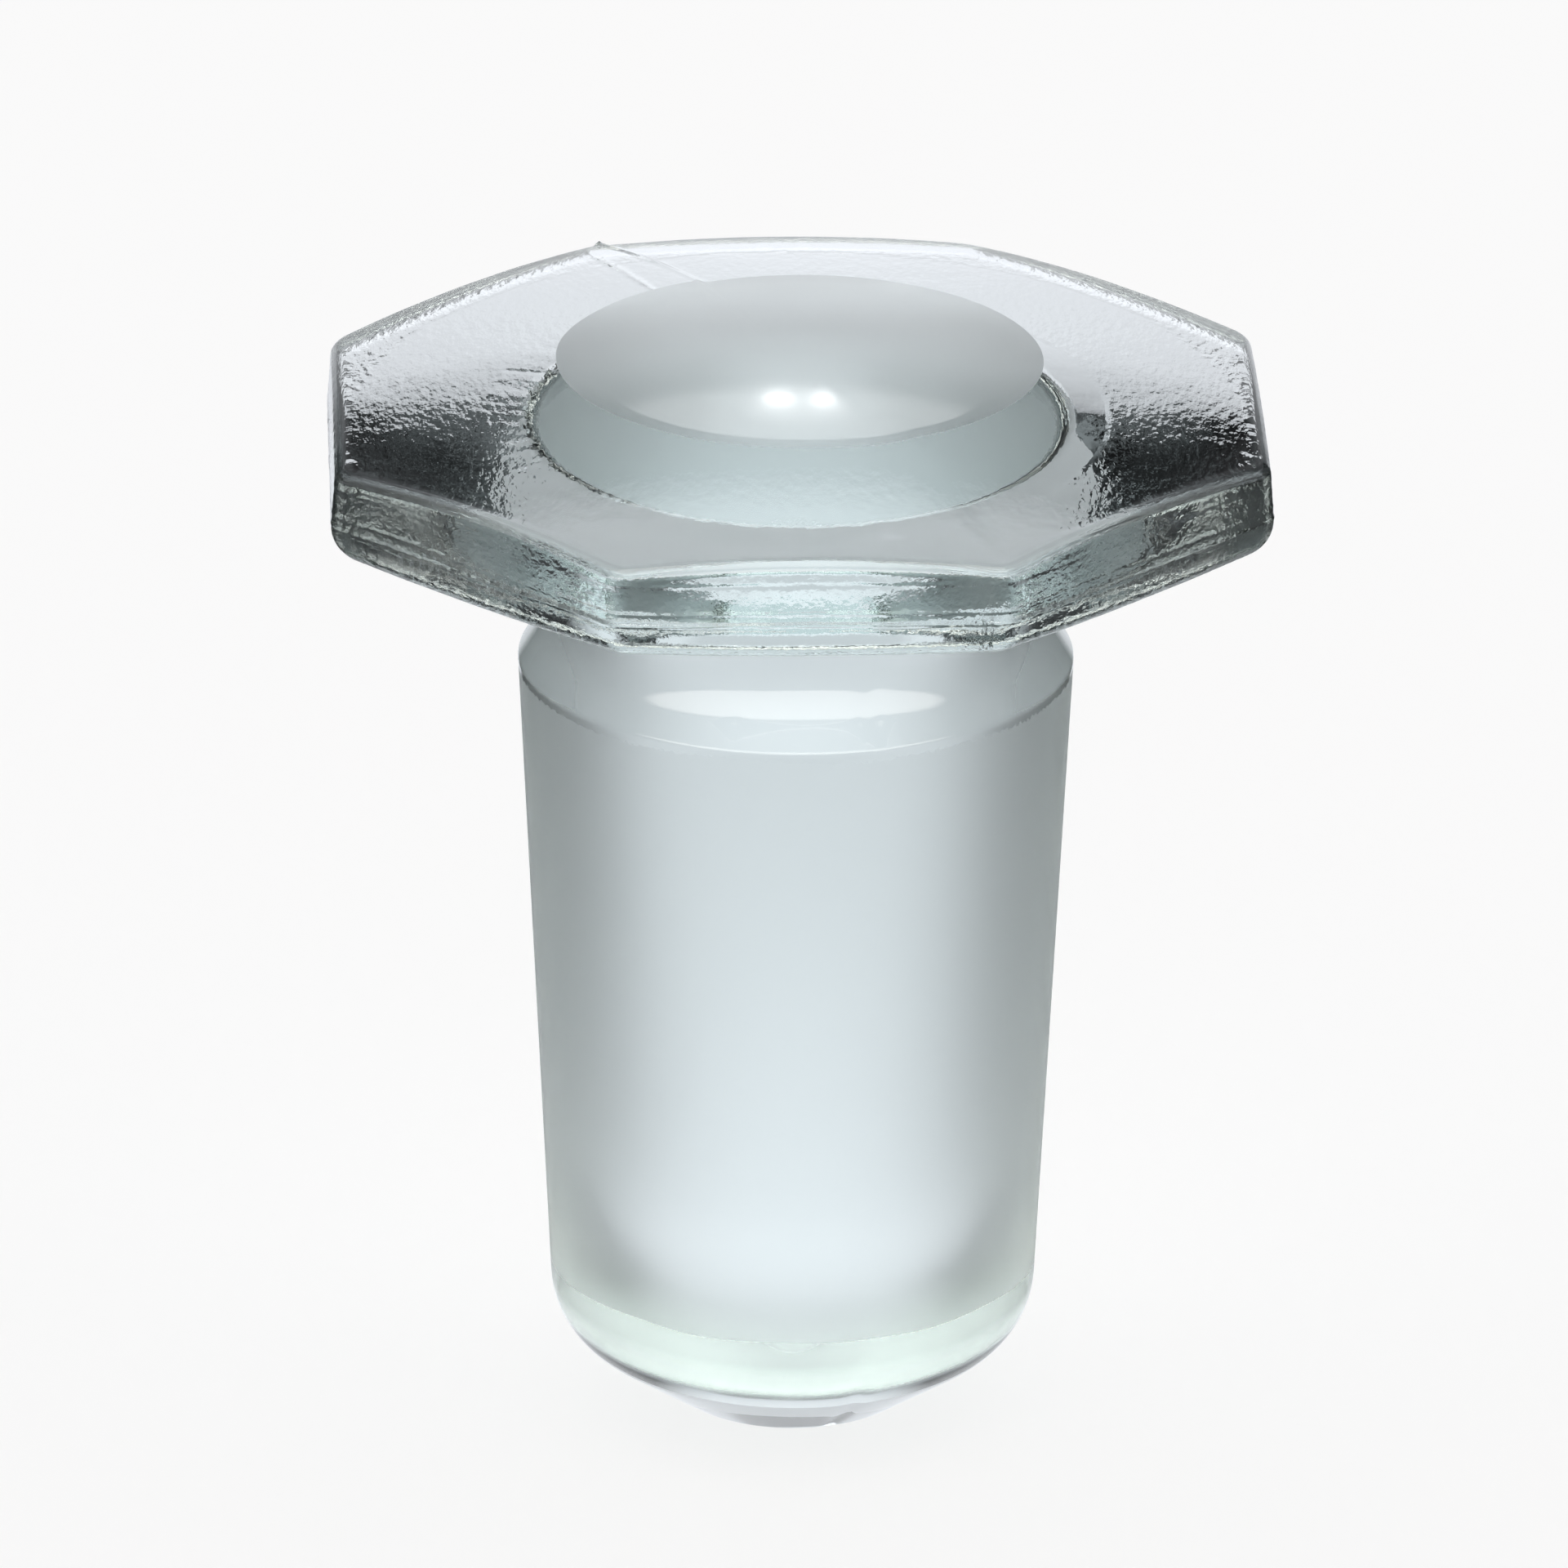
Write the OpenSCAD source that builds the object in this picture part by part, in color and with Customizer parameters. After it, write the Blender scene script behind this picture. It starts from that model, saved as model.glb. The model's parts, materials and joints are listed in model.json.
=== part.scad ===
// Solid glass stopper: an octagonal, slightly domed head on a ground tapered plug.
// It is pressed in one lump, so it is one solid. Millimetres, +Z up.
// The origin is the middle of the flat that it stands on, at the foot of the plug.

/* [Ground joint] */
// Diameter at the large end of the ground zone
joint_d = 24; // [20:0.5:29]
// Length of the ground zone along the axis
ground_len = 27.6; // [15:0.2:50]
// Change of diameter for each millimetre of length
joint_taper = 0.1; // [0.05:0.01:0.12]

/* [Foot of the plug] */
// Height of the clear foot, from the standing flat to the ground zone
foot_h = 6.5; // [6.5:0.1:12]
// Diameter of the flat that the stopper stands on
foot_flat_d = 9.6; // [7:0.2:11]
// Slope of the foot's conical face, in degrees above the standing flat
foot_slope = 34; // [28:1:36]
// Radius between the standing flat and the conical face
foot_edge_r = 0.8; // [0.3:0.1:1.2]
// Radius between the conical face and the ground taper
foot_corner_r = 3.8; // [1:0.1:4]

/* [Neck] */
// How far the neck lies inside the large end of the ground zone
neck_inset = 1.55; // [0.8:0.05:4]
// Length from the ground zone to the head, measured at the neck
neck_len = 6.8; // [6:0.1:14]
// Radius of the shoulder over the ground zone
shoulder_r = 1.7; // [0.5:0.1:1.8]
// Steepest tilt of the shoulder, in degrees away from the axis
shoulder_tilt = 50; // [40:1:60]
// Radius of the fillet between the neck and the head
neck_fillet_r = 0.6; // [0.2:0.1:1]

/* [Head] */
// Width across the flats of the octagon, at its upper corners
head_w = 40; // [34:0.5:60]
// Height of the head's sides
head_side_h = 4.1; // [3:0.1:8]
// Rise of the dome from the upper corners to its crown
dome_h = 2.7; // [1.5:0.1:4]
// Diameter of the flat ground spot on the crown
spot_d = 21; // [8:0.5:26]
// Slope of the underside, in degrees down towards the neck
underside_slope = 5.7; // [1:0.1:8]
// Draft of the sides, in degrees outwards towards the underside
side_draft = 3; // [0.5:0.5:5]
// Turn of the octagon about the axis, in degrees
head_turn = 2; // [-22:1:22]
// Radius of the upper edges
upper_edge_r = 0.5; // [0.2:0.1:0.8]
// Radius of the lower edges
lower_edge_r = 1.4; // [0.5:0.1:1.5]
// How far the eight upright corners fall short of a sharp point
corner_blunt = 0.15; // [0.05:0.05:0.3]

/* [Hidden] */
$fn = 96;
sides = 8;
glass = [0.80, 0.88, 0.88];
joint_r = joint_d / 2;
neck_r = joint_r - neck_inset;
foot_flat_r = foot_flat_d / 2;
head_half_w = head_w / 2;
corner_reach = head_half_w / cos(180 / sides);

// Heights of the stations along the axis
ground_low_z = foot_h;
ground_top_z = ground_low_z + ground_len;
neck_top_z = ground_top_z + neck_len;
side_low_z = neck_top_z + (head_half_w - neck_r) * tan(underside_slope);
rim_z = side_low_z + head_side_h;

// The dome is a ball through the eight upper corners, cut flat at the ground spot
dome_r = (pow(corner_reach, 2) + pow(dome_h, 2)) / (2 * dome_h);
dome_centre_z = rim_z + dome_h - dome_r;
spot_z = dome_z(spot_d / 2);

// The edge bands cross the dome and the underside this much steeper than those run
crossing = 12;
upper_band_slope = asin(head_half_w / dome_r) + crossing;
lower_band_slope = underside_slope + crossing;

function dome_z(r) = dome_centre_z + sqrt(pow(dome_r, 2) - pow(r, 2));
function underside_z(r) = neck_top_z + (r - neck_r) * tan(underside_slope);
function taper_radius(z) = joint_r - (ground_top_z - z) * joint_taper / 2;
function side_x(z) = head_half_w + (rim_z - z) * tan(side_draft);

// A step of the given length at an angle, in degrees from the first axis
function step(length, angle) = length * [cos(angle), sin(angle)];

// Where two lines meet, each given by a point and its angle
function meeting(p, p_angle, q, q_angle) =
    p + step(((q - p)[0] * sin(q_angle) - (q - p)[1] * cos(q_angle)) / sin(q_angle - p_angle), p_angle);

// A rounded corner turns from one angle to another: its two ends, and its centre
function turn_reach(r, from, to) = r * tan(abs(to - from) / 2);
function turn_start(p, r, from, to) = p - step(turn_reach(r, from, to), from);
function turn_end(p, r, from, to) = p + step(turn_reach(r, from, to), to);
function turn_centre(p, r, from, to) =
    turn_start(p, r, from, to) + step(r, from + (to > from ? 90 : -90));

module turn_disc(p, r, from, to)
    translate(turn_centre(p, r, from, to)) circle(r);

// Right half of the section through the axis, with the head as a full round blank.
// Each corner is a point, a radius, and the outline's angle before and after it.
taper_angle = 90 - atan(joint_taper / 2);
shoulder_angle = 90 + shoulder_tilt;
foot_edge = [foot_flat_r + turn_reach(foot_edge_r, 0, foot_slope), 0];
foot_corner = meeting(foot_edge, foot_slope, [taper_radius(0), 0], taper_angle);
shoulder = [joint_r, ground_top_z] + step(turn_reach(shoulder_r, taper_angle, shoulder_angle), taper_angle);
neck_foot = meeting(shoulder, shoulder_angle, [neck_r, 0], 90);
neck_top = [neck_r, neck_top_z];

// The curve at the foot of the neck takes most of the straight that the shoulder leaves,
// but its ball stays below the fillet under the head
shoulder_straight = norm(neck_foot - shoulder) - turn_reach(shoulder_r, taper_angle, shoulder_angle);
room_below_head = neck_top_z - neck_fillet_r - neck_foot[1];
neck_foot_r = min(
    0.9 * shoulder_straight / tan(shoulder_tilt / 2),
    room_below_head / (1 + tan(shoulder_tilt / 2))
);

blank_r = corner_reach - corner_blunt;
blank_low = [blank_r + (rim_z - side_low_z) * tan(side_draft), underside_z(blank_r)];
blank_top = [blank_r - (spot_z - rim_z) * tan(side_draft), spot_z];

module section() {
    difference() {
        intersection() {
            union() {
                polygon([
                    [0, 0],
                    turn_start(foot_edge, foot_edge_r, 0, foot_slope),
                    turn_end(foot_edge, foot_edge_r, 0, foot_slope),
                    turn_start(foot_corner, foot_corner_r, foot_slope, taper_angle),
                    turn_end(foot_corner, foot_corner_r, foot_slope, taper_angle),
                    turn_start(shoulder, shoulder_r, taper_angle, shoulder_angle),
                    turn_end(shoulder, shoulder_r, taper_angle, shoulder_angle),
                    turn_start(neck_foot, neck_foot_r, shoulder_angle, 90),
                    turn_end(neck_foot, neck_foot_r, shoulder_angle, 90),
                    turn_start(neck_top, neck_fillet_r, 90, underside_slope),
                    turn_end(neck_top, neck_fillet_r, 90, underside_slope),
                    blank_low,
                    blank_top,
                    [0, spot_z]
                ]);
                turn_disc(foot_edge, foot_edge_r, 0, foot_slope);
                turn_disc(foot_corner, foot_corner_r, foot_slope, taper_angle);
                turn_disc(shoulder, shoulder_r, taper_angle, shoulder_angle);
            }
            translate([0, dome_centre_z]) circle(dome_r);
        }
        turn_disc(neck_foot, neck_foot_r, shoulder_angle, 90);
        turn_disc(neck_top, neck_fillet_r, 90, underside_slope);
    }
}

// Section of the slab behind one side of the octagon, with that side's rounded edges.
// It reaches past the far side, and below the head it stays clear of the plug.
slab_reach = corner_reach + 2;
slab_low_x = (head_half_w + joint_r) / 2;
side_angle = 90 + side_draft;
upper_angle = 180 - upper_band_slope;
lower_angle = lower_band_slope;
upper_crossing = [head_half_w - upper_edge_r, dome_z(head_half_w - upper_edge_r)];
lower_crossing_x = side_x(side_low_z) - lower_edge_r;
lower_crossing = [lower_crossing_x, underside_z(lower_crossing_x)];
upper_edge = meeting([head_half_w, rim_z], side_angle, upper_crossing, upper_angle);
lower_edge = meeting([head_half_w, rim_z], side_angle, lower_crossing, lower_angle);
upper_run = (upper_crossing[0] + slab_reach) / cos(upper_band_slope);
lower_run = (lower_crossing[0] - slab_low_x) / cos(lower_band_slope);

module slab_section() {
    polygon([
        [-slab_reach, -1],
        [slab_low_x, -1],
        lower_crossing - step(lower_run, lower_angle),
        turn_start(lower_edge, lower_edge_r, lower_angle, side_angle),
        turn_end(lower_edge, lower_edge_r, lower_angle, side_angle),
        turn_start(upper_edge, upper_edge_r, side_angle, upper_angle),
        turn_end(upper_edge, upper_edge_r, side_angle, upper_angle),
        upper_crossing + step(upper_run, upper_angle)
    ]);
    turn_disc(lower_edge, lower_edge_r, lower_angle, side_angle);
    turn_disc(upper_edge, upper_edge_r, side_angle, upper_angle);
}

module side_slab()
    rotate([90, 0, 0])
        linear_extrude(height = 2 * slab_reach, center = true)
            slab_section();

module stopper()
    color(glass)
        intersection() {
            rotate_extrude() section();
            intersection_for (side = [0 : sides - 1])
                rotate([0, 0, head_turn + side * 360 / sides])
                    side_slab();
        }

stopper();
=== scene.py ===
# %% [markdown]
# # A glass stopper
#
# The stopper is one lump of clear glass. Its octagonal head was pressed in a two-part mould,
# its plug was ground to a taper so that it seals in a bottle, and a round spot on its crown
# was ground flat. This lesson builds it as one closed mesh with one glass material, because
# that is how glass works: light goes in through one finish and comes out through another.
#
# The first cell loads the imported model. It is the frame: everything here lies in its
# coordinates, in metres, with the origin under the foot and +Z up.

import json
import math

import bpy
import numpy as np
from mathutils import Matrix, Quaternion, Vector, noise


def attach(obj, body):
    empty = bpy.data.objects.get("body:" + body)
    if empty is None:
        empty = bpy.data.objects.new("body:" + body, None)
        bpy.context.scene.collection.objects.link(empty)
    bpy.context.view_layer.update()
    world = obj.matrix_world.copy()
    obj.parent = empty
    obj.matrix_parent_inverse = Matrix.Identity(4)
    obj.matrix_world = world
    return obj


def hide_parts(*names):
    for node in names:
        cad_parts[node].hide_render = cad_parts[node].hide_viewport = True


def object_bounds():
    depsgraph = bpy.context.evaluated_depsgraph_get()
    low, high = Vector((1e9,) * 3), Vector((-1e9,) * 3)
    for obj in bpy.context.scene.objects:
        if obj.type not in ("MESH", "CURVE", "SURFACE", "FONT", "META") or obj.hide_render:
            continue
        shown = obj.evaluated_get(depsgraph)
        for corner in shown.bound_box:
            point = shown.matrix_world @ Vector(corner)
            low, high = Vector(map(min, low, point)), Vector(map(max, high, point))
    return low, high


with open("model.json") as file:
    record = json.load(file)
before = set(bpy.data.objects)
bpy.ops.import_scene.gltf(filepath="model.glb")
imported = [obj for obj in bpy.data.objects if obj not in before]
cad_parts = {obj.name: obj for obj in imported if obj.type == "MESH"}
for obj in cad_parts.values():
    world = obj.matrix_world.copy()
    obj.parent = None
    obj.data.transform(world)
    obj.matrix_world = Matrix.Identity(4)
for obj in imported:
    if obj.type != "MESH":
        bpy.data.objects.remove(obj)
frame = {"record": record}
cad_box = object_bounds()
cad_low, cad_high = cad_box
print("the packed model is", [round(1000 * side, 2) for side in cad_high - cad_low], "mm")

# %% [markdown]
# ## Sizes
#
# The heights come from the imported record's mounts, so they can't drift from the model.
# The others repeat the model's own dimensions. A pressed piece has rounded upright corners,
# and the model only blunts them, so their radius is added here.

# %% The stopper's sizes
MM = 0.001
mount_z = {mount["name"]: mount["pos_m"][2] for mount in frame["record"]["mounts"]}

spot_z = mount_z["crown_spot"]
spot_r = 10.5 * MM
dome_r = 88.1 * MM
half_w = 20.0 * MM
side_h = 4.1 * MM
side_draft = math.tan(math.radians(3))
corner_r = 1.8 * MM
upper_edge_r = 0.55 * MM
lower_edge_r = 1.4 * MM

ground_top_z = mount_z["ground_cone"]
ground_low_z = ground_top_z - 27.6 * MM
joint_r = 12.0 * MM
taper = 0.05
neck_r = 10.45 * MM
neck_top_z = ground_top_z + 6.8 * MM
underside_rise = math.tan(math.radians(5.7))

dome_centre_z = spot_z - math.sqrt(dome_r**2 - spot_r**2)
rim_z = dome_centre_z + math.sqrt(dome_r**2 - (half_w / math.cos(math.pi / 8)) ** 2)
print("the upper corners of the head lie at", round(rim_z / MM, 2), "mm")

# %% [markdown]
# ## Columns
#
# The mesh is a stack of rings, each with the same number of points, so that one ring can be
# an octagon and another a circle, and quads join them without a seam. The columns stand
# closer together at the head's eight corners, where the outline turns fast. A bevelled
# octagon joined to a turned plug would do as well, but its join would show in clear glass.

# %% Columns round the axis
SIDES = 8
HALF_SIDE = math.pi / SIDES
FLAT_STEPS = 32
CORNER_STEPS = 12
head_turn = math.radians(2)


def column_angles():
    """The angle of every column, with a bunch of them at each corner."""
    corner_centre = (half_w - corner_r) / math.cos(HALF_SIDE)
    flat_end = math.atan2(corner_centre * math.sin(HALF_SIDE), half_w)
    angles = []
    for side in range(SIDES):
        middle = head_turn + side * 2 * HALF_SIDE
        flat = np.linspace(-flat_end, flat_end, FLAT_STEPS, endpoint=False)
        corner = np.linspace(flat_end, 2 * HALF_SIDE - flat_end, CORNER_STEPS, endpoint=False)
        angles += [middle + angle for angle in (*flat, *corner)]
    return np.array(angles)


columns = column_angles()
print(len(columns), "columns")


# %% A rounded octagon
def octagon(half_width, radius):
    """How far a rounded octagon lies from the axis, for each column."""
    turn = (columns - head_turn + HALF_SIDE) % (2 * HALF_SIDE) - HALF_SIDE
    from_corner = HALF_SIDE - np.abs(turn)
    centre = (half_width - radius) / math.cos(HALF_SIDE)
    flat = half_width / np.cos(turn)
    inside = np.maximum(radius**2 - (centre * np.sin(from_corner)) ** 2, 0)
    arc = centre * np.cos(from_corner) + np.sqrt(inside)
    on_arc = half_width * np.tan(np.abs(turn)) > centre * math.sin(HALF_SIDE)
    return np.where(on_arc, arc, flat)


print("the head's corners reach", round(octagon(half_w, corner_r).max() / MM, 2), "mm from the axis")

# %% [markdown]
# ## What the mould left
#
# The two halves of the mould met at a plane through two opposite corners. They weren't quite
# level, so the dome has a tiny step there, and a thin fin of glass was squeezed into the gap.
# Hot glass also cools unevenly, so no pressed face is quite flat. Glass shows all of this,
# because each small slope bends what is seen through it. So the seam and the slow waves are
# real shape in the mesh, and only the finest skin is left to the material.

# %% Mould seam and uneven faces
SEAM_STEP = 0.05 * MM
SEAM_FIN = 0.14 * MM
SEAM_WIDTH = 0.15 * MM
seam_angle = head_turn - 3 * HALF_SIDE
seam_across = (-math.sin(seam_angle), math.cos(seam_angle))

# On the dome the fin sinks from the rim towards the spot, but never below this share of it
FIN_LOW_R = 12 * MM
FIN_RUN = 5 * MM
FIN_LEAST = 0.25

DOME_WAVE = 7 * MM
DOME_WAVE_DEPTH = 0.02 * MM


def off_seam(x, y):
    """How many widths of the seam a place lies from the plane where the mould parted."""
    return (x * seam_across[0] + y * seam_across[1]) / SEAM_WIDTH


def seam_height(x, y):
    """How far the dome stands proud near the seam. The fin and the sharper step are at the back."""
    across = off_seam(x, y)
    near_rim = np.clip((np.hypot(x, y) - FIN_LOW_R) / FIN_RUN, FIN_LEAST, 1)
    fin = np.where(y > 0, SEAM_FIN, 0) * near_rim
    sharpness = np.where(y > 0, 0.5, 0.2)
    return fin * np.exp(-(across**2)) - SEAM_STEP * 0.5 * (1 + np.tanh(sharpness * across))


def dome_unevenness(x, y):
    """A smooth random height for each place on the dome."""
    places = np.stack([x, y, 0 * x], axis=1)
    return DOME_WAVE_DEPTH * np.array([noise.noise(Vector(place) / DOME_WAVE) for place in places])


print("the mould parted at", round(math.degrees(seam_angle), 1), "degrees")

# %% [markdown]
# ## Rings
#
# A ring is a list of points, one for each column. The head's rings are octagons whose height
# follows the dome above and the sloping underside below. The plug's rings are circles on an
# outline with rounded corners, drawn from the head down to the foot.

# %% Rings
rings = []
ring_zone = []


def add_ring(radius, height, zone):
    """Adds one ring. Radius and height are a number each, or a value for each column."""
    x = radius * np.cos(columns)
    y = radius * np.sin(columns)
    z = height + 0 * columns
    rings.append(np.stack([x, y, z], axis=1))
    ring_zone.append(zone)


def dome_z(radius):
    return dome_centre_z + np.sqrt(dome_r**2 - radius**2)


def underside_z(radius):
    return neck_top_z + (radius - neck_r) * underside_rise


print("grinding the spot took", round((dome_z(0) - spot_z) / MM, 2), "mm off the dome")

# %% [markdown]
# ## The ground spot
#
# The spot was ground flat on a wheel, by hand. Its edge is where a plane cuts the uneven
# dome, so it is found by trying: a first circle, then four times a better one. The plane
# leans a little and the wheel left the spot very slightly crowned. Both are far too small to
# see as shape, but they decide where the spot's soft highlight lies and how wide it is.

# %% The ground spot
SPOT_RINGS = 10
SPOT_CROWN = 0.10 * MM
SPOT_TILT = -0.045 * MM
SPOT_DROP = 0.025 * MM
EDGE_TRIES = 4


def spot_plane_z(x):
    """Height of the plane that the spot was ground to."""
    return spot_z - SPOT_DROP + SPOT_TILT * (x / spot_r)


def spot_edge():
    """Where the flat of the spot cuts the dome, for each column."""
    radius = spot_r + 0 * columns
    for _ in range(EDGE_TRIES):
        x = radius * np.cos(columns)
        y = radius * np.sin(columns)
        rise = seam_height(x, y) + dome_unevenness(x, y)
        radius = np.sqrt(dome_r**2 - (spot_plane_z(x) - rise - dome_centre_z) ** 2)
    return radius


spot_outline = spot_edge()
for share in np.linspace(0, 1, SPOT_RINGS + 1)[1:]:
    plane_z = spot_plane_z(spot_outline * share * np.cos(columns))
    add_ring(spot_outline * share, plane_z + SPOT_CROWN * (1 - share**2), "spot")
print("the spot is", round(2 * spot_outline.mean() / MM, 2), "mm across")

# %% [markdown]
# ## The head
#
# The dome runs from the spot out to the octagon's edge. Ring by ring the outline goes over
# from the spot's to the octagon's. The first ring lies a hair outside the spot, which keeps
# the spot's edge crisp. Below the dome come the rounded upper edge, the sides, which slope
# outwards by three degrees so that the piece left its mould, and the rounded lower edge.

# %% The dome
DOME_RINGS = 34
HAIR = 0.0005

dome_edge = octagon(half_w - upper_edge_r, corner_r - upper_edge_r)
for share in np.linspace(0, 1, DOME_RINGS + 1):
    radius = spot_outline + (dome_edge - spot_outline) * max(share, HAIR)
    x = radius * np.cos(columns)
    y = radius * np.sin(columns)
    add_ring(radius, dome_z(radius) + seam_height(x, y) + dome_unevenness(x, y), "head")
print("the dome falls", round((spot_z - rings[-1][:, 2].min()) / MM, 2), "mm from the spot to its corners")

# %% The head's edges and sides
EDGE_RINGS = 8
SIDE_RINGS = 30
edge_drop = rings[-1][:, 2] - dome_z(dome_edge)

for turn in np.linspace(0, math.pi / 2, EDGE_RINGS + 1)[1:]:
    inset = upper_edge_r * (1 - math.sin(turn))
    radius = octagon(half_w - inset, corner_r - inset)
    drop = upper_edge_r * (1 - math.cos(turn))
    add_ring(radius, dome_z(radius) - drop + edge_drop, "head")

side_top_z = rings[-1][:, 2]
low_w = half_w + side_draft * (side_h - lower_edge_r)
side_low_z = underside_z(octagon(low_w, corner_r)) + lower_edge_r
for share in np.linspace(0, 1, SIDE_RINGS + 1)[1:]:
    radius = octagon(half_w + (low_w - half_w) * share, corner_r)
    add_ring(radius, side_top_z + (side_low_z - side_top_z) * share, "head")

for turn in np.linspace(0, math.pi / 2, EDGE_RINGS + 1)[1:]:
    inset = lower_edge_r * (1 - math.cos(turn))
    radius = octagon(low_w - inset, max(corner_r - inset, 0.5 * corner_r))
    drop = lower_edge_r * math.sin(turn)
    add_ring(radius, underside_z(radius) + lower_edge_r - drop, "head")
print("the head is", round(2 * low_w / MM, 2), "mm across its lower flats")

# %% [markdown]
# ## The plug
#
# The plug is turned, so its outline is enough. Each corner of the outline has a rounding,
# and the helper walks from corner to corner, along the straights and round the arcs. A
# curve with a bevel and a screw modifier could do the same, but here the plug's rings have
# to stand on the same columns as the head's.

# %% Outline with rounded corners
def rounded_outline(corners, straight_step, arc_steps):
    """Points along an outline. A corner is (radius, height, rounding), and it becomes an arc."""
    spots = [Vector(corner[:2]) for corner in corners]
    points = [spots[0]]

    def walk_to(end):
        start = points[-1]
        steps = max(1, round((end - start).length / straight_step))
        points.extend(start.lerp(end, step / steps) for step in range(1, steps + 1))

    for before, here, after, corner in zip(spots, spots[1:], spots[2:], corners[1:]):
        way_in = (here - before).normalized()
        way_out = (after - here).normalized()
        turn = way_in.angle_signed(way_out)
        start = here - way_in * corner[2] * abs(math.tan(turn / 2))
        walk_to(start)
        if corner[2] == 0:
            continue
        across = Vector((way_in.y, -way_in.x)) * math.copysign(corner[2], turn)
        for step in range(1, arc_steps + 1):
            angle = -turn * step / arc_steps
            cos, sin = math.cos(angle), math.sin(angle)
            spoke = Vector((across.x * cos - across.y * sin, across.x * sin + across.y * cos))
            points.append(start + across - spoke)
    walk_to(spots[-1])
    return points


# %% The plug's outline
foot_flat_r = 4.8 * MM
foot_edge_r = 0.8 * MM
foot_slope = math.radians(34)
foot_corner_r = 3.8 * MM
clear_land = 0.25 * MM
shoulder_r = 0.45 * MM
shoulder_tilt = math.radians(31)
neck_foot_r = 6.5 * MM
neck_fillet_r = 1.1 * MM
foot_middle_r = 0.4 * MM


def taper_radius(height):
    return joint_r - (ground_top_z - height) * taper


plug_start_r = neck_r + 2 * neck_fillet_r
foot_edge = foot_flat_r + foot_edge_r * math.tan(foot_slope / 2)
foot_corner_z = (taper_radius(0) - foot_edge) / (1 / math.tan(foot_slope) - taper)
shoulder_z = ground_top_z + clear_land + shoulder_r * math.tan(shoulder_tilt / 2)
neck_foot_z = shoulder_z + (taper_radius(shoulder_z) - neck_r) / math.tan(shoulder_tilt)

plug = rounded_outline(
    [
        (plug_start_r, underside_z(plug_start_r), 0),
        (neck_r, neck_top_z, neck_fillet_r),
        (neck_r, neck_foot_z, neck_foot_r),
        (taper_radius(shoulder_z), shoulder_z, shoulder_r),
        (taper_radius(foot_corner_z), foot_corner_z, foot_corner_r),
        (foot_edge, 0, foot_edge_r),
        (foot_middle_r, 0, 0),
    ],
    straight_step=1.1 * MM,
    arc_steps=15,
)
print(len(plug), "points on the plug's outline")

# %% The underside and the plug
UNDER_RINGS = 26
under_outer = np.hypot(rings[-1][:, 0], rings[-1][:, 1])
under_inner = plug[0].x
for share in np.linspace(0, 1, UNDER_RINGS + 1)[1:-1]:
    radius = under_outer + (under_inner - under_outer) * share
    add_ring(radius, underside_z(radius), "head")
for point in plug:
    add_ring(point.x, point.y, "plug")
print(len(rings), "rings")

# %% [markdown]
# ## One closed mesh
#
# Each pair of rings is joined by quads. A single point closes the crown and another closes
# the foot. Glass has to be closed: a ray that goes in must come out again, or the light and
# the tint inside come out wrong.

# %% Build the mesh
count = len(columns)
points = [Vector((0, 0, spot_z - SPOT_DROP + SPOT_CROWN))]
for ring in rings:
    points += [Vector(point) for point in ring]
points.append(Vector((0, 0, 0)))

faces = []
for j in range(count):
    faces.append((0, 1 + j, 1 + (j + 1) % count))
for i in range(len(rings) - 1):
    upper = 1 + i * count
    lower = upper + count
    for j in range(count):
        k = (j + 1) % count
        faces.append((upper + j, lower + j, lower + k, upper + k))
last_ring = 1 + (len(rings) - 1) * count
for j in range(count):
    faces.append((len(points) - 1, last_ring + (j + 1) % count, last_ring + j))

mesh = bpy.data.meshes.new("stopper_glass")
mesh.from_pydata(points, [], faces)
mesh.validate()
for polygon in mesh.polygons:
    polygon.use_smooth = True
stopper = bpy.data.objects.new("stopper_glass", mesh)
bpy.context.collection.objects.link(stopper)
triangles = sum(len(polygon.vertices) - 2 for polygon in mesh.polygons)
print(len(points), "points,", triangles, "triangles")

# %% [markdown]
# ## Uneven pressed faces
#
# Below the dome, each point moves a little along its own normal. The sides get slow waves,
# the fin of the seam and three fine ridges low down, which the mould's edge left.
# One lump sits near the front right corner. The neck has a shallow dip and small lumps in
# the left part of its fillet. The ground taper stays true, because grinding took all that off.

# %% Uneven pressed faces
# Waves: how wide they are and how high
HEAD_WAVES = ((2.4 * MM, 0.012 * MM), (0.8 * MM, 0.004 * MM))
NECK_WAVES = ((2.8 * MM, 0.012 * MM),)

# Ridges: the height above the lower edge's rounding, how far they stand proud, and the width
RIDGES = (
    (0.35 * MM, 0.035 * MM, 0.07 * MM),
    (0.85 * MM, 0.020 * MM, 0.06 * MM),
    (2.1 * MM, 0.012 * MM, 0.05 * MM),
)
RIDGE_WOBBLE = 0.10 * MM

LUMP = Vector((8.3 * MM, -18.4 * MM, rim_z - 2.4 * MM))
LUMP_HEIGHT = 0.12 * MM
LUMP_R = 0.45 * MM

NECK_DIP_ANGLE = math.radians(-72.5)
NECK_DIP = 0.05 * MM
NECK_DIP_R = 0.55 * MM

FILLET_LUMP = 0.4 * MM
FILLET_LUMP_HEIGHT = 0.05 * MM


def waves(point, sizes):
    """Smooth random lumps at a place, one layer for each (width, height)."""
    return sum(height * noise.noise(point / width) for width, height in sizes)


def around_axis(angle, lumps):
    """A place on a circle, so that noise there closes up after one turn."""
    return Vector((lumps * math.cos(angle), lumps * math.sin(angle), 0))


def fillet_share(point):
    """1 in the left part of the neck's fillet, where the mould was worn, and 0 away from it."""
    left = 0.5 - 0.5 * math.tanh((point.x - 4 * MM) / (0.6 * MM))
    return left * math.exp(-(((point.z - neck_top_z) / (0.7 * MM)) ** 2))


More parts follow.
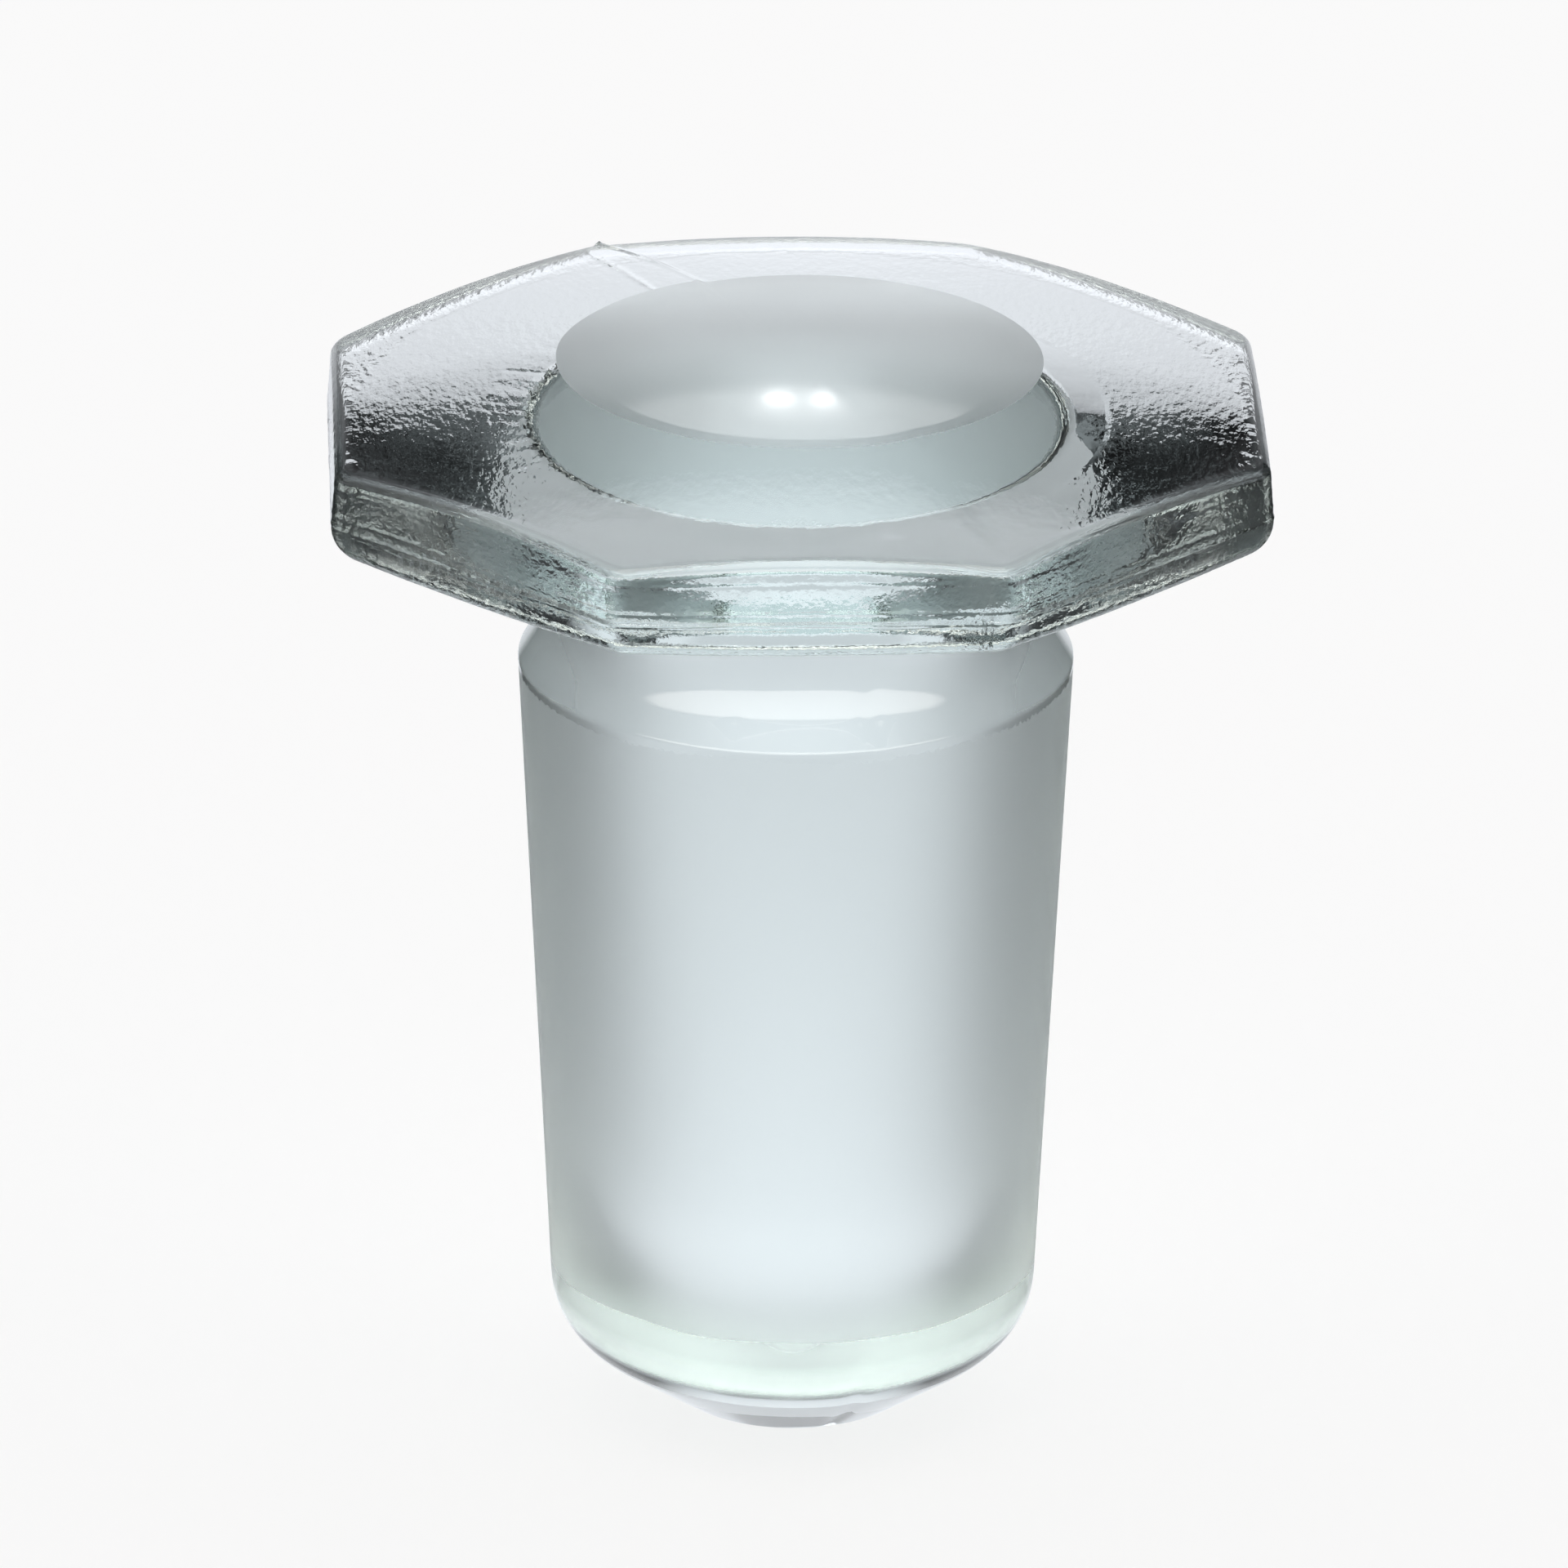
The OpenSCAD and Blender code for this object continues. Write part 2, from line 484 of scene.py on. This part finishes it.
def head_rise(point):
    """How far the mould left the head's side proud of its true form."""
    fin = 0.5 * SEAM_FIN if point.y > 0 else 0.08 * SEAM_FIN
    rise = waves(point, HEAD_WAVES) + fin * math.exp(-(off_seam(point.x, point.y) ** 2))
    around = around_axis(math.atan2(point.y, point.x), 3)
    wobble = RIDGE_WOBBLE * (noise.noise(around) + 0.5 * noise.noise(4 * around))
    for height, depth, width in RIDGES:
        off = (point.z - rim_z + side_h - height - lower_edge_r + wobble) / width
        strength = 1 + noise.noise(5 * around + Vector((0, 0, height / MM)))
        rise += depth * math.exp(-(off**2)) * strength
    return rise + LUMP_HEIGHT * math.exp(-(((point - LUMP).length / LUMP_R) ** 2))


def neck_rise(point):
    """How far the neck and the foot stand proud of the turned outline."""
    turn = (math.atan2(point.y, point.x) - NECK_DIP_ANGLE) * joint_r / NECK_DIP_R
    lumps = FILLET_LUMP_HEIGHT * fillet_share(point) * noise.noise(point / FILLET_LUMP)
    return waves(point, NECK_WAVES) - NECK_DIP * math.exp(-(turn**2)) + lumps


def clear_share(point):
    """1 on the plug's clear glass, fading to 0 at the ground zone and at the standing flat."""
    if point.z > ground_top_z:
        return min(1, (point.z - ground_top_z) / (0.8 * MM))
    return max(0, min(1, (ground_low_z - point.z) / MM)) * min(1, point.z / (0.5 * MM))


on_point = ["spot"] + [zone for zone in ring_zone for _ in range(count)] + ["plug"]
first_side = 1 + (SPOT_RINGS + DOME_RINGS + 1) * count
normals = [Vector(normal.vector) for normal in mesh.vertex_normals]
moved = [Vector(point) for point in points]
for i in range(first_side, len(points) - 1):
    point = points[i]
    rise = head_rise(point) if on_point[i] == "head" else neck_rise(point) * clear_share(point)
    moved[i] += normals[i] * rise
mesh.vertices.foreach_set("co", [number for point in moved for number in point])
mesh.update()
print("moved", len(points) - 1 - first_side, "points of the pressed faces")

# %% [markdown]
# ## Where the glass is ground
#
# Grinding changes only the surface, so the finish is a mask and not another piece. For each
# point the mesh keeps how deep it lies inside the ground zone, in millimetres and negative
# outside, and the same for the spot. The material turns that into a slightly ragged edge. A
# third value says how strongly the mould's skin shows. The mould was polished for the dome,
# so there it is faint. It is coarse on the underside, on the sides and along their lower
# edge, and in the left part of the neck's fillet.

# %% Ground zones
FADE = 2.0
EDGE_WAVES = 2.2
TOP_WANDER = 0.16 * MM
LOW_WANDER = 0.20 * MM


def plug_depths():
    """Signed distance in millimetres from the edges of the plug's ground zone, for each point."""
    depths = []
    for point in points:
        wave = around_axis(math.atan2(point.y, point.x), EDGE_WAVES)
        top = ground_top_z + TOP_WANDER * noise.noise(wave)
        low = ground_low_z + LOW_WANDER * noise.noise(wave + Vector((0, 0, 9)))
        depths.append(min(top - point.z, point.z - low) / MM)
    return np.clip(depths, -FADE, FADE)


def spot_depths():
    """Signed distance in millimetres from the edge of the ground spot, for each point."""
    depths = [FADE]
    for ring in rings[: SPOT_RINGS + DOME_RINGS]:
        depths += list((spot_outline - np.hypot(ring[:, 0], ring[:, 1])) / MM)
    depths += [-FADE] * (len(points) - len(depths))
    return np.clip(depths, -FADE, FADE)


# %% The mould's skin
DOME_SKIN = 0.12
UNDERSIDE_SKIN = 1.0
SIDE_SKIN = 1.5
FILLET_SKIN = 1.5
FRONT_POLISH = 1.1
FRONT_POLISH_DEG = 22
RIM_SKIN = 1.4
RIM_SKIN_R = 0.3 * MM
DOME_REACH = 0.3 * MM
under_flat_r = low_w - lower_edge_r


def side_skin(point):
    """The skin on the head's sides: faint at the front, and coarse along the lower edge."""
    from_front = math.degrees(math.atan2(point.x, -point.y)) / FRONT_POLISH_DEG
    off_rim = (point.z - rim_z + side_h) / RIM_SKIN_R
    return SIDE_SKIN - FRONT_POLISH * math.exp(-(from_front**4)) + RIM_SKIN * math.exp(-(off_rim**2))


def skin_strength(point, zone):
    radius = math.hypot(point.x, point.y)
    if zone == "plug":
        return FILLET_SKIN * fillet_share(point)
    if zone == "spot":
        return 0.0
    if point.z > dome_z(radius) - DOME_REACH:
        return DOME_SKIN
    return UNDERSIDE_SKIN if radius < under_flat_r else side_skin(point)


on_mesh = {
    "plug_depth": plug_depths(),
    "spot_depth": spot_depths(),
    "skin": [skin_strength(point, zone) for point, zone in zip(points, on_point)],
}
for name, values in on_mesh.items():
    attribute = mesh.attributes.new(name, "FLOAT", "POINT")
    attribute.data.foreach_set("value", values)
    print(name, "runs from", round(float(min(values)), 2), "to", round(float(max(values)), 2))

# %% [markdown]
# ## Helpers for materials
#
# A material is a graph of small steps. These helpers add one step each and hand back its
# output, so that the graph below reads like a sum on paper.

# %% Material helpers
def maths(tree, operation, first, second=None):
    """A Math node on one or two sockets or numbers. Returns its output."""
    made = tree.nodes.new("ShaderNodeMath")
    made.operation = operation
    for socket, value in zip(made.inputs, (first, second)):
        if value is None:
            continue
        if isinstance(value, (int, float)):
            socket.default_value = value
        else:
            tree.links.new(value, socket)
    return made.outputs[0]


def times(tree, *values):
    """The product of two or more sockets or numbers."""
    product = values[0]
    for value in values[1:]:
        product = maths(tree, "MULTIPLY", product, value)
    return product


def soft_step(tree, value, low, high, low_result=0.0, high_result=1.0):
    """Goes smoothly from one result to the other as value passes from low to high."""
    made = tree.nodes.new("ShaderNodeMapRange")
    made.interpolation_type = "SMOOTHSTEP"
    tree.links.new(value, made.inputs["Value"])
    made.inputs["From Min"].default_value = low
    made.inputs["From Max"].default_value = high
    made.inputs["To Min"].default_value = low_result
    made.inputs["To Max"].default_value = high_result
    return made.outputs["Result"]


def split(tree, vector):
    """The X, Y and Z of a vector, as three outputs."""
    made = tree.nodes.new("ShaderNodeSeparateXYZ")
    tree.links.new(vector, made.inputs[0])
    return made.outputs


def grain(tree, size, detail=2.0, stretch=1.0):
    """A noise in the glass's own coordinates, with grains of the given size. 0 to 1.
    Stretch makes the grains longer from front to back."""
    place = tree.nodes.new("ShaderNodeTexCoord")
    squeeze = tree.nodes.new("ShaderNodeVectorMath")
    squeeze.operation = "MULTIPLY"
    squeeze.inputs[1].default_value = (1, 1 / stretch, 1)
    tree.links.new(place.outputs["Object"], squeeze.inputs[0])
    made = tree.nodes.new("ShaderNodeTexNoise")
    made.inputs["Scale"].default_value = 1 / size
    made.inputs["Detail"].default_value = detail
    tree.links.new(squeeze.outputs[0], made.inputs["Vector"])
    return made.outputs["Fac"]


def attribute_value(tree, name):
    """A value that the mesh keeps for each of its points."""
    made = tree.nodes.new("ShaderNodeAttribute")
    made.attribute_name = name
    return made.outputs["Fac"]


def empty_tree(owner):
    """The owner's node graph, with nothing in it."""
    owner.use_nodes = True
    owner.node_tree.nodes.clear()
    return owner.node_tree


# %% [markdown]
# ## The glass
#
# Clear glass is a Principled shader with full transmission. Its colour doesn't come from the
# surface: soda glass takes a little red out of the light on the way through, so thick parts
# look green-grey and thin ones look clear. A Volume Absorption node does that. The grinding
# is roughness: the plug is a coarse satin. The spot is coarser still, but it has been handled
# until it shines a little, and a thin coat stands for that. The flat that the stopper stands
# on is worn, and the back of the foot is scuffed.
#
# Two bumps are left for the fine skin of pressed glass: an orange peel that hardly shows, and
# the pits of the coarse mould, drawn out a little from front to back.

# %% How rough the glass is
PLUG_ROUGHNESS = 0.55
SPOT_ROUGHNESS = 0.75
WORN_ROUGHNESS = 0.45
SCUFFED_ROUGHNESS = 0.3
SPOT_COAT = 0.6
COAT_ROUGHNESS = 0.045


def plug_mask(tree, z):
    """1 in the plug's ground zone, with a ragged upper edge and a neat lower one."""
    low_end = ground_low_z + 5 * MM
    high_end = ground_top_z - 5 * MM
    raggedness = soft_step(tree, z, low_end, high_end, 0.03, 0.45)
    ragged = times(tree, maths(tree, "SUBTRACT", grain(tree, 0.2 * MM), 0.5), raggedness)
    depth = maths(tree, "ADD", attribute_value(tree, "plug_depth"), ragged)
    return soft_step(tree, depth, -0.04, 0.04)


def wear(tree, y, z):
    """Roughness of the worn standing flat and of the scuffed back of the foot."""
    worn = soft_step(tree, z, 0.02 * MM, 0.10 * MM, WORN_ROUGHNESS, 0.0)
    low_foot = soft_step(tree, z, 3.5 * MM, 4.5 * MM, 1.0, 0.0)
    behind = soft_step(tree, y, 2 * MM, 4 * MM)
    scuffed = times(tree, low_foot, behind, SCUFFED_ROUGHNESS)
    return maths(tree, "MAXIMUM", worn, scuffed)


# %% The skin of pressed glass
PEEL_SIZE = 1.1 * MM
PEEL_HEIGHT = 0.004 * MM
PIT_SIZE = 0.3 * MM
PIT_STRETCH = 2.2
PIT_HEIGHT = 0.03 * MM


def pressed_skin(tree, z, on_spot):
    """The normal of pressed glass, with orange peel on the head and pits where the skin is coarse."""
    on_head = soft_step(tree, z, neck_top_z - 1.5 * MM, neck_top_z)
    off_spot = maths(tree, "SUBTRACT", 1.0, on_spot)
    peel = tree.nodes.new("ShaderNodeBump")
    peel.inputs["Distance"].default_value = PEEL_HEIGHT
    tree.links.new(times(tree, on_head, off_spot), peel.inputs["Strength"])
    tree.links.new(grain(tree, PEEL_SIZE, detail=1.0), peel.inputs["Height"])
    skin = tree.nodes.new("ShaderNodeBump")
    skin.inputs["Distance"].default_value = PIT_HEIGHT
    pits = times(tree, attribute_value(tree, "skin"), grain(tree, PIT_SIZE, stretch=PIT_STRETCH))
    tree.links.new(pits, skin.inputs["Height"])
    tree.links.new(peel.outputs["Normal"], skin.inputs["Normal"])
    return skin.outputs["Normal"]


# %% Glass
TINT = (0.77, 0.86, 0.85, 1)
TINT_DENSITY = 34.0


def glass_material():
    material = bpy.data.materials.new("glass")
    tree = empty_tree(material)
    output = tree.nodes.new("ShaderNodeOutputMaterial")
    glass = tree.nodes.new("ShaderNodeBsdfPrincipled")
    glass.inputs["Base Color"].default_value = (1, 1, 1, 1)
    glass.inputs["IOR"].default_value = 1.5
    glass.inputs["Transmission Weight"].default_value = 1.0
    glass.inputs["Coat Roughness"].default_value = COAT_ROUGHNESS
    tree.links.new(glass.outputs["BSDF"], output.inputs["Surface"])

    place = tree.nodes.new("ShaderNodeTexCoord")
    _, y, z = split(tree, place.outputs["Object"])
    on_plug = plug_mask(tree, z)
    on_spot = soft_step(tree, attribute_value(tree, "spot_depth"), -0.02, 0.02)
    ground = maths(tree, "ADD", times(tree, on_plug, PLUG_ROUGHNESS), times(tree, on_spot, SPOT_ROUGHNESS))
    tree.links.new(maths(tree, "ADD", ground, wear(tree, y, z)), glass.inputs["Roughness"])
    tree.links.new(times(tree, on_spot, SPOT_COAT), glass.inputs["Coat Weight"])
    tree.links.new(pressed_skin(tree, z, on_spot), glass.inputs["Normal"])

    tint = tree.nodes.new("ShaderNodeVolumeAbsorption")
    tint.inputs["Color"].default_value = TINT
    tint.inputs["Density"].default_value = TINT_DENSITY
    tree.links.new(tint.outputs["Volume"], output.inputs["Volume"])
    return material


mesh.materials.append(glass_material())
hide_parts("stopper")
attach(stopper, "root")
print("the glass has", len(mesh.materials[0].node_tree.nodes), "nodes")

# %% [markdown]
# ## The studio
#
# Glass has hardly any look of its own: it shows its surroundings, bent and mirrored. So the
# surroundings matter as much as the material. A low white wall straight behind the stopper
# and a white table make the glass bright. To both sides of the wall the room is dark, which
# gives the head its dark patches. A pale ceiling lies over it all, and a window in front
# draws the bright lens on the neck.
#
# Real walls and cards would do, but their light is hard to steer. Here the room is in the
# world's material: each direction has a level, given by the turn away from straight behind
# and by the rise above the table. Only rays from the glass see it. All else sees plain white.

# %% The room's levels
WHITE = 0.98
BRIGHTEST = 3.0

# How bright the surroundings look to the glass, in pairs: the degrees of turn away from
# straight behind the stopper, and the level there, where 1 is white
WALL = [
    (0, 0.85), (14, 0.8), (20, 0.6), (28, 0.0), (62, 0.0),
    (100, 0.1), (115, 0.5), (150, 0.8), (180, 1.15),
]
ABOVE_WALL = [
    (0, 0.03), (12, 0.05), (16, 0.4), (24, 0.4), (30, 0.25),
    (58, 0.3), (66, 0.75), (108, 1.0), (116, 2.0),
]
CEILING = [(0, 1.35), (26, 1.35), (32, 0.9), (58, 0.95), (66, 1.35), (108, 1.6), (116, 2.9)]
TOP = [(0, 0.95), (80, 0.95), (100, 2.7)]
TABLE_BY_STOPPER = [(0, 1.15), (13, 1.08), (17, 0.45), (26, 0.4), (58, 0.4), (63, 0.02), (112, 0.05)]
TABLE = [
    (0, 0.79), (12, 0.8), (16, 1.0), (22, 1.0), (28, 0.02),
    (60, 0.02), (66, 0.2), (130, 0.4), (160, 0.3),
]
UNDER_STOPPER = 1.0

# Rises above the table, in degrees, at which one part of the room goes over into the next,
# and half the width of that change
WALL_TOP = (20, 3)
CEILING_LOW = (40, 3)
TOP_LOW = (65, 6)

# Distances from the stopper's foot at which one part of the table goes over into the next
UNDER_EDGE = (16 * MM, 3 * MM)
BY_STOPPER_EDGE = (60 * MM, 8 * MM)

COOL = (0.95, 0.98, 1.03, 1)
WARM = (1.05, 1.0, 0.95, 1)
PURE_WHITE = (1, 1, 1, 1)


def degrees(tree, radians):
    return times(tree, radians, 180 / math.pi)


def turn_from_back(tree, x, y):
    """Degrees round the axis away from straight behind, the same on both sides."""
    return degrees(tree, maths(tree, "ABSOLUTE", maths(tree, "ARCTAN2", x, y)))


def level_by_turn(tree, turn, levels):
    """The level of one part of the room in that direction."""
    ramp = tree.nodes.new("ShaderNodeValToRGB")
    while len(ramp.color_ramp.elements) < len(levels):
        ramp.color_ramp.elements.new(0.5)
    for element, (at_turn, level) in zip(ramp.color_ramp.elements, levels):
        element.position = at_turn / 180
        share = level / BRIGHTEST
        element.color = (share, share, share, 1)
    tree.links.new(maths(tree, "DIVIDE", turn, 180.0), ramp.inputs[0])
    return times(tree, ramp.outputs[0], BRIGHTEST)


def past(tree, value, edge):
    """Goes smoothly from 0 to 1 as value passes an edge, which is (where, half its width)."""
    where, half_width = edge
    return soft_step(tree, value, where - half_width, where + half_width)


def blend(tree, factor, first, second):
    """First where the factor is 0, second where it is 1. Each is a socket or a number."""
    made = tree.nodes.new("ShaderNodeMix")
    for name, value in (("Factor", factor), ("A", first), ("B", second)):
        if isinstance(value, (int, float)):
            made.inputs[name].default_value = value
        else:
            tree.links.new(value, made.inputs[name])
    return made.outputs["Result"]


def colour_blend(tree, factor, first, second):
    """The first colour where the factor is 0, the second where it is 1."""
    made = tree.nodes.new("ShaderNodeMix")
    made.data_type = "RGBA"
    tree.links.new(factor, made.inputs["Factor"])
    colour_sockets = [socket for socket in made.inputs if socket.type == "RGBA"]
    for socket, colour in zip(colour_sockets, (first, second)):
        socket.default_value = colour
    return [socket for socket in made.outputs if socket.type == "RGBA"][0]


def glass_rays(tree, rays):
    """1 for a ray that the glass sent, by reflection or through itself."""
    return maths(tree, "MAXIMUM", rays.outputs["Is Glossy Ray"], rays.outputs["Is Transmission Ray"])


# %% [markdown]
# ## The room
#
# The four bands of the room lie one above the other. The window shows only in mirror images:
# seen through the glass it would flood the plug. For the same reason the low front of the
# room is dimmed for mirror images, so that the ground plug's sides stay grey.

# %% The room
WINDOW_LEVEL = 3.8
WINDOW_RISE = 24
WINDOW_HALF_TURN = 70
WINDOW_HALF_HEIGHT = 11
FRONT_DIMMING = 0.8
FRONT_TURNS = (60, 110)
FRONT_RISES = (40, 50)
WARM_TURNS = (70, 110)


def room_level(tree, turn, rise):
    """The level of the room in one direction."""
    level = level_by_turn(tree, turn, WALL)
    for edge, part in ((WALL_TOP, ABOVE_WALL), (CEILING_LOW, CEILING), (TOP_LOW, TOP)):
        level = blend(tree, past(tree, rise, edge), level, level_by_turn(tree, turn, part))
    return level


def window_level(tree, turn, rise):
    """The level of the window, which is an ellipse straight in front."""
    across = maths(tree, "DIVIDE", maths(tree, "SUBTRACT", 180.0, turn), WINDOW_HALF_TURN)
    up = maths(tree, "DIVIDE", maths(tree, "SUBTRACT", rise, WINDOW_RISE), WINDOW_HALF_HEIGHT)
    out = maths(tree, "ADD", times(tree, across, across), times(tree, up, up))
    return times(tree, soft_step(tree, out, 0.85, 1.1, 1.0, 0.0), WINDOW_LEVEL)


def front_dimming(tree, turn, rise):
    """How much of the room's level a mirror image loses: some of it, low in front."""
    in_front = soft_step(tree, turn, *FRONT_TURNS)
    low = soft_step(tree, rise, *FRONT_RISES, 1.0, 0.0)
    return times(tree, in_front, low, FRONT_DIMMING)


def build_world():
    world = bpy.data.worlds.new("studio")
    bpy.context.scene.world = world
    tree = empty_tree(world)
    output = tree.nodes.new("ShaderNodeOutputWorld")
    room = tree.nodes.new("ShaderNodeBackground")
    rays = tree.nodes.new("ShaderNodeLightPath")
    way = tree.nodes.new("ShaderNodeTexCoord")
    x, y, z = split(tree, way.outputs["Generated"])
    turn = turn_from_back(tree, x, y)
    rise = degrees(tree, maths(tree, "ARCSINE", z))

    mirrored = rays.outputs["Is Glossy Ray"]
    window = times(tree, window_level(tree, turn, rise), mirrored)
    kept = maths(tree, "SUBTRACT", 1.0, times(tree, front_dimming(tree, turn, rise), mirrored))
    level = times(tree, room_level(tree, turn, rise), kept)
    seen = blend(tree, glass_rays(tree, rays), WHITE, maths(tree, "ADD", level, window))
    tree.links.new(seen, room.inputs["Strength"])
    colour = colour_blend(tree, soft_step(tree, turn, *WARM_TURNS), COOL, WARM)
    tree.links.new(colour, room.inputs["Color"])
    tree.links.new(room.outputs[0], output.inputs["Surface"])
    return world


print("the room has", len(build_world().node_tree.nodes), "nodes")

# %% [markdown]
# ## The table
#
# The table is a wide white disc. The camera sees it as plain white with the stopper's soft
# shadow, so a quarter of it is a diffuse surface and the rest glows. The glass sees levels,
# like the room's. The disc has only an upper side, so that a look from below is free.

# %% The table
TABLE_R = 6
TABLE_SIDES = 96
TABLE_GAP = 0.02 * MM
CARD_COLOUR = (0.9, 0.9, 0.9, 1)
CAMERA_GLOW = 0.75


def table_level(tree, place):
    """The level of the table at one place, as the glass sees it."""
    x, y, _ = split(tree, place)
    turn = turn_from_back(tree, x, y)
    length = tree.nodes.new("ShaderNodeVectorMath")
    length.operation = "LENGTH"
    tree.links.new(place, length.inputs[0])
    level = UNDER_STOPPER
    for edge, part in ((UNDER_EDGE, TABLE_BY_STOPPER), (BY_STOPPER_EDGE, TABLE)):
        beyond = past(tree, length.outputs["Value"], edge)
        level = blend(tree, beyond, level, level_by_turn(tree, turn, part))
    return level


def shader_mix(tree, factor, first, second):
    """The first shader where the factor is 0, the second where it is 1."""
    made = tree.nodes.new("ShaderNodeMixShader")
    for socket, value in zip(made.inputs, (factor, first, second)):
        tree.links.new(value, socket)
    return made.outputs[0]


def table_material():
    material = bpy.data.materials.new("white_table")
    tree = empty_tree(material)
    output = tree.nodes.new("ShaderNodeOutputMaterial")
    geometry = tree.nodes.new("ShaderNodeNewGeometry")
    rays = tree.nodes.new("ShaderNodeLightPath")
    from_camera = rays.outputs["Is Camera Ray"]
    by_glass = glass_rays(tree, rays)

    card = tree.nodes.new("ShaderNodeBsdfDiffuse")
    card.inputs["Color"].default_value = CARD_COLOUR
    glow = tree.nodes.new("ShaderNodeEmission")
    level = table_level(tree, geometry.outputs["Position"])
    tree.links.new(blend(tree, from_camera, level, WHITE), glow.inputs["Strength"])
    tree.links.new(colour_blend(tree, by_glass, PURE_WHITE, COOL), glow.inputs["Color"])
    share = maths(tree, "MAXIMUM", by_glass, times(tree, from_camera, CAMERA_GLOW))
    upper_side = shader_mix(tree, share, card.outputs[0], glow.outputs[0])

    nothing = tree.nodes.new("ShaderNodeBsdfTransparent")
    one_sided = shader_mix(tree, geometry.outputs["Backfacing"], upper_side, nothing.outputs[0])
    tree.links.new(one_sided, output.inputs["Surface"])
    material.cycles.emission_sampling = "NONE"
    return material


bpy.ops.mesh.primitive_circle_add(
    vertices=TABLE_SIDES, radius=TABLE_R, fill_type="NGON", location=(0, 0, -TABLE_GAP)
)
floor = bpy.context.object
floor.name = "floor"
floor.data.materials.append(table_material())
print("the table is", 2 * TABLE_R, "m across")

# %% [markdown]
# ## Lamps
#
# The ground spot has two small bright highlights in a soft glow. They are the mirror images
# of two small lamps behind the stopper, just above the wall, with two weak and wider ones
# round them. Area lamps have a size, so their mirror images are soft. They are kept out of
# the view through the glass, where they would only make stray dots.

# %% Lamps
LAMP_DISTANCE = 1.5
LAMP_TARGET = Vector((0, 0, 0.03))


def soft_lamp(name, azimuth, elevation, size, level):
    """An area lamp that looks at the stopper. Level is how bright its face is, with 1 as white."""
    light = bpy.data.lights.new(name, "AREA")
    light.shape = "ELLIPSE"
    light.size, light.size_y = size
    light.energy = level * math.pi * size[0] * size[1]
    lamp = bpy.data.objects.new(name, light)
    bpy.context.collection.objects.link(lamp)
    a, e = math.radians(azimuth), math.radians(elevation)
    way = Vector((math.sin(a) * math.cos(e), -math.cos(a) * math.cos(e), math.sin(e)))
    lamp.location = LAMP_TARGET + way * LAMP_DISTANCE
    lamp.visible_transmission = False
    lamp.rotation_euler = way.to_track_quat("Z", "Y").to_euler()


soft_lamp("left_bar", 179.97, 22.45, (0.006, 0.007), 12.0)
soft_lamp("right_bar", 179.6, 22.45, (0.0045, 0.007), 12.0)
soft_lamp("glow", 179.8, 22.7, (0.022, 0.018), 0.9)
soft_lamp("wide_glow", 179.8, 23.3, (0.08, 0.06), 1.2)
print(len(bpy.data.lights), "lamps")

# %% [markdown]
# ## Camera
#
# A long lens from a little above the head: the sides of the plug stay nearly parallel, and
# the crown shows as a narrow ellipse. The camera aims below the head, so that the whole
# stopper stands in the middle of the picture, and it is rolled by a third of a degree, as a
# camera held by hand often is.

# %% Camera
camera_lift = math.radians(20.76)
camera_roll = math.radians(0.3)
CAMERA_DISTANCE = 0.8
AIM_LEFT = 0.48 * MM
AIM_LOW = 16.36 * MM

head_point = Vector((0, 0, rim_z))
camera_data = bpy.data.cameras.new("camera")
camera_data.lens = 427
camera_data.sensor_width = 36
camera = bpy.data.objects.new("camera", camera_data)
bpy.context.collection.objects.link(camera)
camera.location = head_point + CAMERA_DISTANCE * Vector((0, -math.cos(camera_lift), math.sin(camera_lift)))
picture_up = Vector((0, math.sin(camera_lift), math.cos(camera_lift)))
aim = head_point + Vector((-AIM_LEFT, 0, 0)) - AIM_LOW * picture_up
look = (aim - camera.location).to_track_quat("-Z", "Y")
camera.rotation_mode = "QUATERNION"
camera.rotation_quaternion = look @ Quaternion((0, 0, 1), camera_roll)
bpy.context.scene.camera = camera
bpy.context.scene.view_settings.view_transform = "Standard"
print("the camera stands", round(1000 * camera.location.z), "mm above the table")
